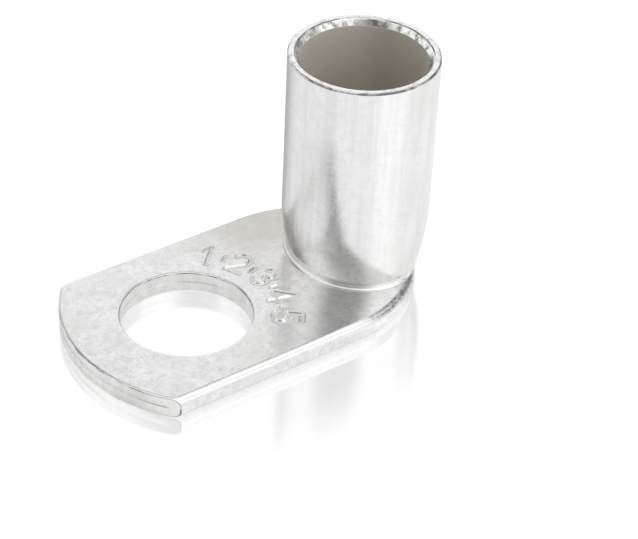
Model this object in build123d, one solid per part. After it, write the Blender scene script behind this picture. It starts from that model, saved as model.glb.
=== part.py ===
from build123d import *
import math
import os

# A right-angled tubular cable lug, formed in one piece from a length of tinned copper tube.
# The bolt hole is centred on the origin, the palm rests on z = 0, +X points from the
# bolt hole to the barrel and +Z points up out of the barrel's mouth.

# Copper tube that the lug is formed from
tube_outer_diameter = 14.8
tube_wall = 1.2

# Palm: the tube pressed flat in two layers, with a hole for an M12 bolt
bolt_hole_diameter = 13.0
bolt_hole_edge_break = 0.15
palm_width = 21.6
palm_thickness = 2.2
side_fold_radius = 0.8
palm_end_distance = 11.8
palm_end_radius = 15.75

# Seam that shows where the two layers meet, on the cut end and in the hole
seam_width = 0.12
seam_depth = 0.2

# Barrel: the round part, turned up at a right angle to the palm
barrel_offset = 20.15
mouth_height = 25.1
mouth_edge_break = 0.2
mouth_chamfer_width = 0.5
mouth_chamfer_depth = 0.6

# Heel: the barrel's back wall draws in and folds under at the palm's rounded end, which
# stands out behind the barrel's axis and is a little longer than a half circle. Its side
# arcs are struck from just past the palm's middle.
heel_overhang = 5.35
heel_lengthening = 1.2
heel_side_offset = 2.4
heel_height = 8.8
heel_arc_radius = 15.5
round_height = 11.0

# Crease: the barrel is nipped in where its front turns out into the palm's upper layer
front_nip = 1.0
side_nip = 0.2
nip_height = 8.0
crease_radius = 0.45

# Worked out from the sizes above
tube_radius = tube_outer_diameter / 2
bore_radius = tube_radius - tube_wall
bolt_hole_radius = bolt_hole_diameter / 2
half_width = palm_width / 2
seam_height = palm_thickness / 2
palm_end_centre = palm_end_radius - palm_end_distance
heel_distance = barrel_offset + heel_overhang
heel_start = heel_distance - half_width - heel_lengthening
heel_side_radius = half_width + heel_side_offset
heel_tip_radius = half_width - heel_lengthening**2 / (2 * (heel_side_offset - heel_lengthening))
heel_tip_centre = heel_distance - heel_tip_radius

# Heights of the level slices that the heel is drawn through
foot_height = 0.5
slice_heights = (foot_height, 1.6, 3.0, 5.0, 7.0, heel_height, round_height)
bore_slice_heights = (seam_height, 3.0, 5.0, 7.0, heel_height)


def back_reach(height):
    """How far the back wall stands behind the barrel's axis at a height."""
    drop = max(heel_height - height, 0)
    return tube_radius - heel_arc_radius + math.sqrt(heel_arc_radius**2 - drop**2)


def nipped_radius(height, depth):
    """The barrel's radius at a height, less a nip that deepens down to the crease."""
    share = (nip_height - height) / (nip_height - palm_thickness)
    return tube_radius - depth * min(max(share, 0), 1) ** 2


def barrel_slice(height, inset):
    """Level slice through the barrel: half an ellipse behind the axis and half before it."""
    back = back_reach(height) - inset
    front = nipped_radius(height, front_nip) - inset
    across = nipped_radius(height, side_nip) - inset
    behind = EllipticalCenterArc((0, 0), back, across, start_angle=-90, arc_size=180)
    before = EllipticalCenterArc((0, 0), front, across, start_angle=90, arc_size=180)
    return Pos(barrel_offset, 0, height) * make_face([behind, before])


def barrel_form():
    """The outside of the barrel as a solid form, from inside the palm to the mouth."""
    heel = loft([barrel_slice(height, 0) for height in slice_heights])
    round_part = extrude(Circle(tube_radius), mouth_height - round_height)
    return heel + Pos(barrel_offset, 0, round_height) * round_part


def cut_bore(shape):
    """Hollow the barrel, a wall's thickness in, from the mouth down to the lower layer."""
    heel = loft([barrel_slice(height, tube_wall) for height in bore_slice_heights])
    round_part = extrude(Circle(bore_radius), mouth_height - heel_height)
    return shape - Pos(barrel_offset, 0, heel_height) * round_part - heel


def palm_outline():
    """The palm from above: straight sides, a heel of three arcs and a square far end."""
    far_end = -2 * palm_end_distance
    swing = math.degrees(math.atan2(heel_side_offset, heel_tip_centre - heel_start))
    turn = 90 - swing
    heel = [
        CenterArc((heel_start, heel_side_offset), heel_side_radius, -90, turn),
        CenterArc((heel_tip_centre, 0), heel_tip_radius, -swing, 2 * swing),
        CenterArc((heel_start, -heel_side_offset), heel_side_radius, swing, turn),
    ]
    sides = Polyline(
        (heel_start, half_width),
        (far_end, half_width),
        (far_end, -half_width),
        (heel_start, -half_width),
    )
    return make_face(heel + [sides])


def palm_plate():
    """The pressed tube, its sides rounded and its far end sheared to an arc."""
    plate = extrude(palm_outline(), palm_thickness)
    plate = fillet(plate.faces().filter_by(Axis.Z).edges(), side_fold_radius)
    end_disc = Cylinder(palm_end_radius, 4 * palm_thickness)
    end_disc += Box(
        4 * palm_width,
        2 * palm_width,
        4 * palm_thickness,
        align=(Align.MIN, Align.CENTER, Align.CENTER),
    )
    return plate & (Pos(palm_end_centre, 0, 0) * end_disc)


def crease_edges(shape):
    """The edges where the barrel stands on the palm."""
    reach = tube_radius + crease_radius
    edges = []
    for edge in shape.edges():
        box = edge.bounding_box()
        at_top = box.center().Z > seam_height and box.max.Z < palm_thickness + crease_radius
        by_barrel = box.min.X > barrel_offset - reach and max(box.max.Y, -box.min.Y) < reach
        if at_top and by_barrel:
            edges.append(edge)
    return edges


def round_edges(shape, radius, height):
    """The circular edges of a radius that lie at a height."""
    level = shape.edges().filter_by(GeomType.CIRCLE)
    return [
        edge
        for edge in level
        if abs(edge.radius - radius) < 0.01 and abs(edge.center().Z - height) < 0.01
    ]


def dress_mouth(shape):
    """Break the mouth's outer edge and open its inner edge with a lead-in."""
    shape = chamfer(round_edges(shape, tube_radius, mouth_height), mouth_edge_break)
    inner = round_edges(shape, bore_radius, mouth_height)
    land = shape.faces().filter_by(Axis.Z).sort_by(Axis.Z)[-1]
    return chamfer(inner, mouth_chamfer_width, mouth_chamfer_depth, reference=land)


def cut_bolt_hole(shape):
    """Cut the bolt's hole through both layers and break its edges."""
    shape = shape - Cylinder(bolt_hole_radius, 4 * palm_thickness)
    rims = round_edges(shape, bolt_hole_radius, 0)
    rims += round_edges(shape, bolt_hole_radius, palm_thickness)
    return chamfer(rims, bolt_hole_edge_break)


def seam_cuts():
    """Fine grooves where the two layers meet, round the hole and along the cut end."""
    hole_groove = Cylinder(bolt_hole_radius + seam_depth, seam_width)
    end_groove = Cylinder(palm_end_radius, seam_width)
    end_groove -= Cylinder(palm_end_radius - seam_depth, seam_width)
    end_zone = Box(
        2 * palm_end_distance,
        palm_width - 2 * side_fold_radius,
        seam_width,
        align=(Align.MAX, Align.CENTER, Align.CENTER),
    )
    end_groove = (Pos(palm_end_centre, 0, 0) * end_groove) & end_zone
    return Pos(0, 0, seam_height) * (hole_groove + end_groove)


def cable_lug():
    """The whole lug as one solid."""
    lug = palm_plate() + barrel_form()
    lug = fillet(crease_edges(lug), crease_radius)
    lug = cut_bore(lug)
    lug = dress_mouth(lug)
    lug = cut_bolt_hole(lug)
    return lug - seam_cuts()


def main():
    """Build the lug and write it out."""
    lug = cable_lug()
    os.makedirs("parts", exist_ok=True)
    export_step(lug, "parts/cable_lug.step")


main()
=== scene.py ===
import logging
import math
from dataclasses import dataclass, field
from enum import Enum

import bpy
import numpy as np
from mathutils import Matrix, Vector, noise
from mathutils.geometry import delaunay_2d_cdt


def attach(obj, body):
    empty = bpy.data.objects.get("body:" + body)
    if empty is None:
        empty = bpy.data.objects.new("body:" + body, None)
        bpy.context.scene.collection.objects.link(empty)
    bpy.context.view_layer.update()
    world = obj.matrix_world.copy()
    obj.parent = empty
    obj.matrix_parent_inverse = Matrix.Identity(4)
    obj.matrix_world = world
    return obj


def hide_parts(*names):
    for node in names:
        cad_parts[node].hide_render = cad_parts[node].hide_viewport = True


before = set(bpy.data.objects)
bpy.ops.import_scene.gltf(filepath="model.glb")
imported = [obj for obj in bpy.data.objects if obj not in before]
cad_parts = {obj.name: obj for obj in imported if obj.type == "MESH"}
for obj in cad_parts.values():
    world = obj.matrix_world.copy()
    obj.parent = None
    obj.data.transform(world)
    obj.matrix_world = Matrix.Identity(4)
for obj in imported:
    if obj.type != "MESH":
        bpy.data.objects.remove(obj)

MM = 0.001
NODE = "cable_lug"
BODY = "root"
# The least length to divide by, and the step that a slope is measured over
TINY = 1e-12
SLOPE_STEP = 0.02

Colour = tuple[float, float, float]
Point = tuple[float, float]
Stops = tuple[Point, Point]
Socket = bpy.types.NodeSocket
Value = bpy.types.NodeSocket | float

log = logging.getLogger("cable_lug")


class Finish(Enum):
    """The finishes that the lug's skin takes, in the order of its material slots."""

    TIN = 0
    BORE = 1
    RIM = 2
    LEAD = 3
    SHEAR = 4
    ARRIS = 5


@dataclass(frozen=True)
class LugSizes:
    """Every size of the lug in millimetres, from the bolt hole's centre on the underside."""

    tube_radius: float = 7.4
    wall: float = 1.2
    hole_radius: float = 6.5
    half_width: float = 10.8
    thickness: float = 2.2
    fold_radius: float = 0.8
    end_distance: float = 11.8
    end_radius: float = 15.75
    seam_half_width: float = 0.08
    seam_depth: float = 0.2
    axis_x: float = 20.15
    mouth_height: float = 25.1
    mouth_edge: float = 0.2
    chamfer_width: float = 0.5
    chamfer_depth: float = 0.6
    heel_start: float = 13.5
    heel_distance: float = 25.5
    heel_side_radius: float = 13.2
    heel_height: float = 8.8
    heel_arc_radius: float = 15.5
    round_height: float = 11.0
    front_nip: float = 1.0
    side_nip: float = 0.2
    nip_height: float = 8.0
    crease_radius: float = 0.45

    @property
    def seam_height(self) -> float:
        """Where the two pressed layers meet."""
        return self.thickness / 2

    @property
    def shoulder(self) -> float:
        """Where the folded edge starts to round over at the top."""
        return self.thickness - self.fold_radius

    @property
    def fold_quarter(self) -> float:
        """Length round a quarter of the folded edge."""
        return self.fold_radius * np.pi / 2

    @property
    def bore_radius(self) -> float:
        """The round bore's radius."""
        return self.tube_radius - self.wall

    @property
    def end_centre(self) -> float:
        """X of the centre that the palm's sheared end is struck from."""
        return self.end_radius - self.end_distance

    @property
    def tip_radius(self) -> float:
        """Radius of the arc at the heel's tip, tangent to its two side arcs.

        Returns:
            The radius.
        """
        reach = self.heel_distance - self.heel_start
        rise = self.heel_side_radius - self.half_width
        return (self.heel_side_radius**2 - reach**2 - rise**2) / (
            2 * (self.heel_side_radius - reach)
        )

    @property
    def tip_centre(self) -> float:
        """X of the heel tip arc's centre."""
        return self.heel_distance - self.tip_radius

    def end_x(self, y: np.ndarray, inset: float = 0.0) -> np.ndarray:
        """X of the sheared end at a place across the palm.

        Args:
            y: Places across the palm.
            inset: How far inside the sheared face.

        Returns:
            The X of the end's arc at each place.
        """
        return self.end_centre - np.sqrt((self.end_radius - inset) ** 2 - y**2)


@dataclass
class PalmOutline:
    """The palm from above, and how far it reaches from the barrel's axis."""

    sizes: LugSizes

    def reach(self, angle: np.ndarray, inset: np.ndarray) -> np.ndarray:
        """Distance from the barrel's axis to the outline drawn in by an inset.

        Args:
            angle: Directions about the axis, from +X.
            inset: How far inside the outline.

        Returns:
            The distance along each direction.
        """
        s = self.sizes
        across = np.sin(angle)
        along = np.cos(angle)
        tip = self._to_circle(along, across, s.tip_centre, 0.0, s.tip_radius - inset)
        tip_x = s.axis_x + tip * along - s.tip_centre
        tip_y = tip * across
        swing = math.atan2(s.heel_side_radius - s.half_width, s.tip_centre - s.heel_start)
        on_tip = np.abs(np.arctan2(tip_y, tip_x)) <= swing
        side_y = -np.sign(across) * (s.heel_side_radius - s.half_width)
        side = self._to_circle(along, across, s.heel_start, side_y, s.heel_side_radius - inset)
        on_side = s.axis_x + side * along >= s.heel_start
        steep = np.maximum(np.abs(across), 1e-6)
        straight = (s.half_width - inset) / steep
        return np.where(on_tip, tip, np.where(on_side, side, straight))

    def _to_circle(
        self,
        along: np.ndarray,
        across: np.ndarray,
        centre_x: float,
        centre_y: np.ndarray | float,
        radius: np.ndarray,
    ) -> np.ndarray:
        """Distance from the barrel's axis to a circle that holds it.

        Args:
            along: X parts of the directions.
            across: Y parts of the directions.
            centre_x: X of the circle's centre.
            centre_y: Y of the circle's centre.
            radius: The circle's radius.

        Returns:
            The distance along each direction.
        """
        to_x = centre_x - self.sizes.axis_x
        middle = to_x * along + centre_y * across
        return middle + np.sqrt(np.maximum(middle**2 - to_x**2 - centre_y**2 + radius**2, 0))


@dataclass
class BarrelForm:
    """The barrel's outside and inside as level slices."""

    sizes: LugSizes

    def radius(self, angle: np.ndarray, height: np.ndarray, inset: float = 0.0) -> np.ndarray:
        """Distance from the axis to the wall.

        Args:
            angle: Directions about the axis, from +X.
            height: Heights above the underside.
            inset: How far inside the outer wall.

        Returns:
            The distance at each direction and height.
        """
        s = self.sizes
        drop = np.maximum(s.heel_height - height, 0)
        back = s.tube_radius - s.heel_arc_radius + np.sqrt(s.heel_arc_radius**2 - drop**2)
        share = (s.nip_height - height) / (s.nip_height - s.thickness)
        share = np.clip(share, 0, 1) ** 2
        front = s.tube_radius - s.front_nip * share
        wide = s.tube_radius - s.side_nip * share - inset
        deep = np.where(np.cos(angle) >= 0, back, front) - inset
        return deep * wide / np.hypot(wide * np.cos(angle), deep * np.sin(angle))

    def lean(self, angle: np.ndarray, height: np.ndarray) -> np.ndarray:
        """How fast the outer wall moves out with height.

        Args:
            angle: Directions about the axis, from +X.
            height: Heights above the underside.

        Returns:
            The slope at each direction and height.
        """
        above = self.radius(angle, height + SLOPE_STEP)
        return (above - self.radius(angle, height - SLOPE_STEP)) / (2 * SLOPE_STEP)


@dataclass
class Crease:
    """The small fillet where the barrel stands on the palm, worked out column by column."""

    sizes: LugSizes
    outline: PalmOutline
    barrel: BarrelForm
    steps: int = 9
    search: Point = (0.7, 4.5)
    halvings: int = 48
    slope_step: float = 0.002

    def gap(self, angle: np.ndarray, out: np.ndarray, height: np.ndarray) -> np.ndarray:
        """Distance from the palm's skin, in the upright plane through the barrel's axis.

        Args:
            angle: Directions about the axis.
            out: Distances from the axis.
            height: Heights above the underside.

        Returns:
            The distance, positive outside the palm.
        """
        s = self.sizes
        flat = self.outline.reach(angle, s.fold_radius)
        edge = self.outline.reach(angle, 0 * angle)
        slant = s.fold_radius / (edge - flat)
        fold = np.hypot((out - flat) * slant, height - s.shoulder) - s.fold_radius
        side = (out - edge) * slant
        above = np.where(out <= flat, height - s.thickness, fold)
        return np.where(height > s.shoulder, above, side)

    def centre(self, angle: np.ndarray, height: np.ndarray) -> tuple[np.ndarray, np.ndarray]:
        """Centre of a fillet that touches the wall at a height.

        Args:
            angle: Directions about the axis.
            height: Heights of the touching points.

        Returns:
            The centre's distance from the axis, and its height.
        """
        lean = self.barrel.lean(angle, height)
        length = np.sqrt(1 + lean**2)
        out = self.barrel.radius(angle, height) + self.sizes.crease_radius / length
        return out, height - self.sizes.crease_radius * lean / length

    def solve(self, angle: np.ndarray) -> tuple[np.ndarray, np.ndarray, np.ndarray]:
        """Where the fillet leaves the wall, and its points down to the palm.

        Args:
            angle: Directions about the axis.

        Returns:
            The heights where it leaves the wall, and the distances and heights of its points,
            one row to each step from the wall to the palm.
        """
        radius = self.sizes.crease_radius
        low, high = (np.full_like(angle, end) for end in self.search)
        for _ in range(self.halvings):
            middle = (low + high) / 2
            out, height = self.centre(angle, middle)
            clear = self.gap(angle, out, height) > radius
            high = np.where(clear, middle, high)
            low = np.where(clear, low, middle)
        leave = (low + high) / 2
        out, height = self.centre(angle, leave)
        step = self.slope_step
        slope_out = self.gap(angle, out + step, height) - self.gap(angle, out - step, height)
        slope_up = self.gap(angle, out, height + step) - self.gap(angle, out, height - step)
        to_palm = np.arctan2(-slope_up, -slope_out)
        to_wall = np.arctan2(leave - height, self.barrel.radius(angle, leave) - out)
        turn = np.mod(to_palm - to_wall, 2 * np.pi)
        share = np.linspace(0, 1, self.steps)[:, None]
        swing = to_wall + turn * share
        return leave, out + radius * np.cos(swing), height + radius * np.sin(swing)


@dataclass
class Stock:
    """A growing skin of points and faces, with a normal held wherever a face is truly flat."""

    points: list[np.ndarray] = field(default_factory=list)
    quads: list[np.ndarray] = field(default_factory=list)
    quad_finish: list[np.ndarray] = field(default_factory=list)
    triangles: list[np.ndarray] = field(default_factory=list)
    triangle_finish: list[np.ndarray] = field(default_factory=list)
    held: list[tuple[np.ndarray, np.ndarray]] = field(default_factory=list)
    count: int = 0

    def add(self, x: np.ndarray, y: np.ndarray, z: np.ndarray) -> np.ndarray:
        """Take in points.

        Args:
            x: X of the points.
            y: Y of the points.
            z: Z of the points.

        Returns:
            Their numbers, in the same shape.
        """
        x, y, z = np.broadcast_arrays(x, y, z)
        block = np.stack([x, y, z], axis=-1).astype(float)
        numbers = np.arange(self.count, self.count + block[..., 0].size).reshape(block.shape[:-1])
        self.points.append(block.reshape(-1, 3))
        self.count += numbers.size
        return numbers

    def skin(self, rows: np.ndarray, finish: Finish, closed: bool = False) -> None:
        """Lay quads over a grid of point numbers.

        Args:
            rows: The grid, a row of numbers to each line of points.
            finish: The finish that the quads take.
            closed: Whether each row runs on to its own start.
        """
        if closed:
            rows = np.concatenate([rows, rows[:, :1]], axis=1)
        quads = np.stack([rows[:-1, :-1], rows[1:, :-1], rows[1:, 1:], rows[:-1, 1:]], axis=-1)
        quads = quads.reshape(-1, 4)
        self.quads.append(quads)
        self.quad_finish.append(np.full(len(quads), finish.value))

    def fill(
        self, triangles: np.ndarray, numbers: np.ndarray, normals: np.ndarray, finish: Finish
    ) -> None:
        """Lay flat triangles and hold the normals of their points.

        Args:
            triangles: Triangles as point numbers.
            numbers: The points whose normals are held.
            normals: Those normals.
            finish: The finish that the triangles take.
        """
        self.triangles.append(triangles)
        self.triangle_finish.append(np.full(len(triangles), finish.value))
        self.held.append((numbers, normals))

    def all_points(self) -> np.ndarray:
        """Every point so far."""
        return np.concatenate(self.points)

    def normals(self) -> np.ndarray:
        """Work out the skin's normal at every point, with the held ones kept.

        Returns:
            The normals.
        """
        points = self.all_points()
        quads = np.concatenate(self.quads)
        across = points[quads[:, 2]] - points[quads[:, 0]]
        along = points[quads[:, 3]] - points[quads[:, 1]]
        each = np.cross(across, along)
        total = np.zeros_like(points)
        for corner in range(4):
            np.add.at(total, quads[:, corner], each)
        for numbers, normals in self.held:
            total[numbers] = normals
        length = np.linalg.norm(total, axis=1, keepdims=True)
        return total / np.maximum(length, TINY)

    def build(self, name: str) -> bpy.types.Object:
        """Make the skin into an object, in metres.

        Args:
            name: The object's name.

        Returns:
            The object, linked to the scene.
        """
        points = self.all_points()
        quads = np.concatenate(self.quads)
        triangles = np.concatenate(self.triangles)
        mesh = bpy.data.meshes.new(name)
        loops = np.concatenate([quads.reshape(-1), triangles.reshape(-1)])
        sizes = np.concatenate([np.full(len(quads), 4), np.full(len(triangles), 3)])
        mesh.vertices.add(len(points))
        mesh.vertices.foreach_set("co", (points * MM).reshape(-1))
        mesh.loops.add(len(loops))
        mesh.loops.foreach_set("vertex_index", loops)
        mesh.polygons.add(len(sizes))
        mesh.polygons.foreach_set("loop_start", np.concatenate([[0], np.cumsum(sizes)[:-1]]))
        mesh.polygons.foreach_set("loop_total", sizes)
        finish = np.concatenate(self.quad_finish + self.triangle_finish)
        mesh.polygons.foreach_set("material_index", finish)
        mesh.polygons.foreach_set("use_smooth", np.ones(len(sizes), dtype=bool))
        mesh.update(calc_edges=True)
        mesh.validate()
        mesh.normals_split_custom_set_from_vertices(self.normals().tolist())
        piece = bpy.data.objects.new(name, mesh)
        bpy.context.scene.collection.objects.link(piece)
        return piece


def smooth_step(share: np.ndarray) -> np.ndarray:
    """An even ramp from 0 to 1 with soft ends."""
    share = np.clip(share, 0, 1)
    return share * share * (3 - 2 * share)


def round_angles(count: int) -> np.ndarray:
    """Evenly spaced angles round a circle."""
    return np.arange(count) * 2 * np.pi / count


def level_normals(count: int, up: float = 1.0) -> np.ndarray:
    """Normals that point straight up, or down, for a count of points."""
    return np.tile([0.0, 0.0, up], (count, 1))


def arc_points(
    centre: Point, radius: float, start: float, stop: float, steps: int = 10
) -> list[Point]:
    """Points along an arc.

    Args:
        centre: The arc's centre.
        radius: Its radius.
        start: Where it starts, in degrees.
        stop: Where it stops, in degrees.
        steps: How many points.

    Returns:
        The points.
    """
    angles = np.radians(np.linspace(start, stop, steps))
    return [(centre[0] + radius * math.cos(a), centre[1] + radius * math.sin(a)) for a in angles]


def digit_strokes(digit: int) -> list[list[Point]]:
    """Strokes of a plain digit, one high and about 0.6 wide.

    Args:
        digit: The digit, from 1 to 5.

    Returns:
        Its strokes, each a run of points.
    """
    strokes = {
        1: [[(0.12, 0.76), (0.34, 1.0), (0.34, 0.0)]],
        2: [arc_points((0.3, 0.71), 0.29, 165, -35) + [(0.03, 0.0), (0.6, 0.0)]],
        3: [arc_points((0.29, 0.75), 0.25, 150, -90) + arc_points((0.29, 0.27), 0.27, 90, -150)],
        4: [[(0.43, 0.0), (0.43, 1.0), (0.02, 0.3), (0.6, 0.3)]],
        5: [[(0.54, 1.0), (0.12, 1.0), (0.08, 0.55)] + arc_points((0.28, 0.31), 0.31, 125, -145)],
    }
    return strokes[digit]


@dataclass
class StampedScale:
    """A plain stamped scale on the palm: digits round the bolt hole with a tick between each."""

    first_angle: float = 44.0
    last_angle: float = -36.0
    digits: int = 5
    tick_radius: float = 9.75
    tick_length: float = 0.7
    digit_radius: float = 8.35
    inner_radius: float = 7.15
    digit_height: float = 2.8
    digit_middle: float = 0.31
    half_stroke: float = 0.13
    wall: float = 0.16
    depth: float = 0.16
    lip: float = 0.03
    lip_width: float = 0.1
    segments: np.ndarray = field(init=False)

    def __post_init__(self) -> None:
        """Set out every stroke."""
        runs = []
        half_tick = self.tick_length / 2
        angles = np.linspace(self.first_angle, self.last_angle, 2 * self.digits - 1)
        for place, angle in enumerate(np.radians(angles)):
            radial = (math.cos(angle), math.sin(angle))
            if place % 2:
                ends = (self.tick_radius - half_tick, self.tick_radius + half_tick)
                runs.append([(end * radial[0], end * radial[1]) for end in ends])
            else:
                runs += self._digit(place // 2 + 1, radial)
        pairs = [pair for run in runs for pair in zip(run[:-1], run[1:])]
        self.segments = np.array(pairs)

    def _digit(self, digit: int, radial: Point) -> list[list[Point]]:
        """Place a digit with its top towards the barrel.

        Args:
            digit: The digit.
            radial: Its direction from the hole.

        Returns:
            The placed strokes.
        """
        placed = []
        for stroke in digit_strokes(digit):
            run = []
            for u, v in stroke:
                side = (u - self.digit_middle) * self.digit_height
                out = self.digit_radius + v * self.digit_height
                run.append(
                    (out * radial[0] + side * radial[1], out * radial[1] - side * radial[0])
                )
            placed.append(run)
        return placed

    def distance(self, x: np.ndarray, y: np.ndarray) -> np.ndarray:
        """Distance to the nearest stroke.

        Args:
            x: X of the places.
            y: Y of the places.

        Returns:
            The distance at each place.
        """
        nearest = np.full(x.shape, np.inf)
        for (ax, ay), (bx, by) in self.segments:
            dx, dy = bx - ax, by - ay
            share = np.clip(((x - ax) * dx + (y - ay) * dy) / (dx * dx + dy * dy), 0, 1)
            nearest = np.minimum(nearest, np.hypot(x - ax - share * dx, y - ay - share * dy))
        return nearest

    def sink(self, x: np.ndarray, y: np.ndarray) -> np.ndarray:
        """How deep the stamp presses the palm.

        Args:
            x: X of the places.
            y: Y of the places.

        Returns:
            The depth at each place, less the raised lip.
        """
        away = self.distance(x, y)
        pressed = self.depth * smooth_step((self.half_stroke + self.wall / 2 - away) / self.wall)
        edge = self.half_stroke + self.wall
        raised = self.lip * np.exp(-(((away - edge) / self.lip_width) ** 2))
        return pressed - raised

    def slopes(self, x: np.ndarray, y: np.ndarray) -> np.ndarray:
        """How fast the stamp's depth grows along X and along Y.

        Args:
            x: X of the places.
            y: Y of the places.

        Returns:
            The two slopes at each place.
        """
        along = self.sink(x + SLOPE_STEP, y) - self.sink(x - SLOPE_STEP, y)
        across = self.sink(x, y + SLOPE_STEP) - self.sink(x, y - SLOPE_STEP)
        return np.stack([along, across], 1) / (2 * SLOPE_STEP)


@dataclass(frozen=True)
class Layer:
    """A grid of places on the flat top, kept within a reach of the strokes or of their walls."""

    spacing: float
    reach: float = math.inf
    from_walls: bool = False


@dataclass
class Surface:
    """Small unevenness that pressing leaves in the metal."""

    wobble: float = 0.012
    length: float = 5.0

    def swell(self, points: np.ndarray, seed: float) -> np.ndarray:
        """Work out a slow, even noise over points.

        Args:
            points: The points, in millimetres.
            seed: Which of the noise's layers.

        Returns:
            The swell at each point, in millimetres.
        """
        flat = points.reshape(-1, 3) / self.length + seed
        values = np.array([noise.noise(Vector(p)) for p in flat])
        return self.wobble * values.reshape(points.shape[:-1])


# Places looked at in one go
BLOCK = 2000

# How far the metal is worn back from a sharp edge, and how far down, step by step
WORN_EDGE = ((0.3, 0.0), (0.2, 0.007), (0.11, 0.027), (0.05, 0.048), (0.015, 0.075), (0.0, 0.12))


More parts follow.
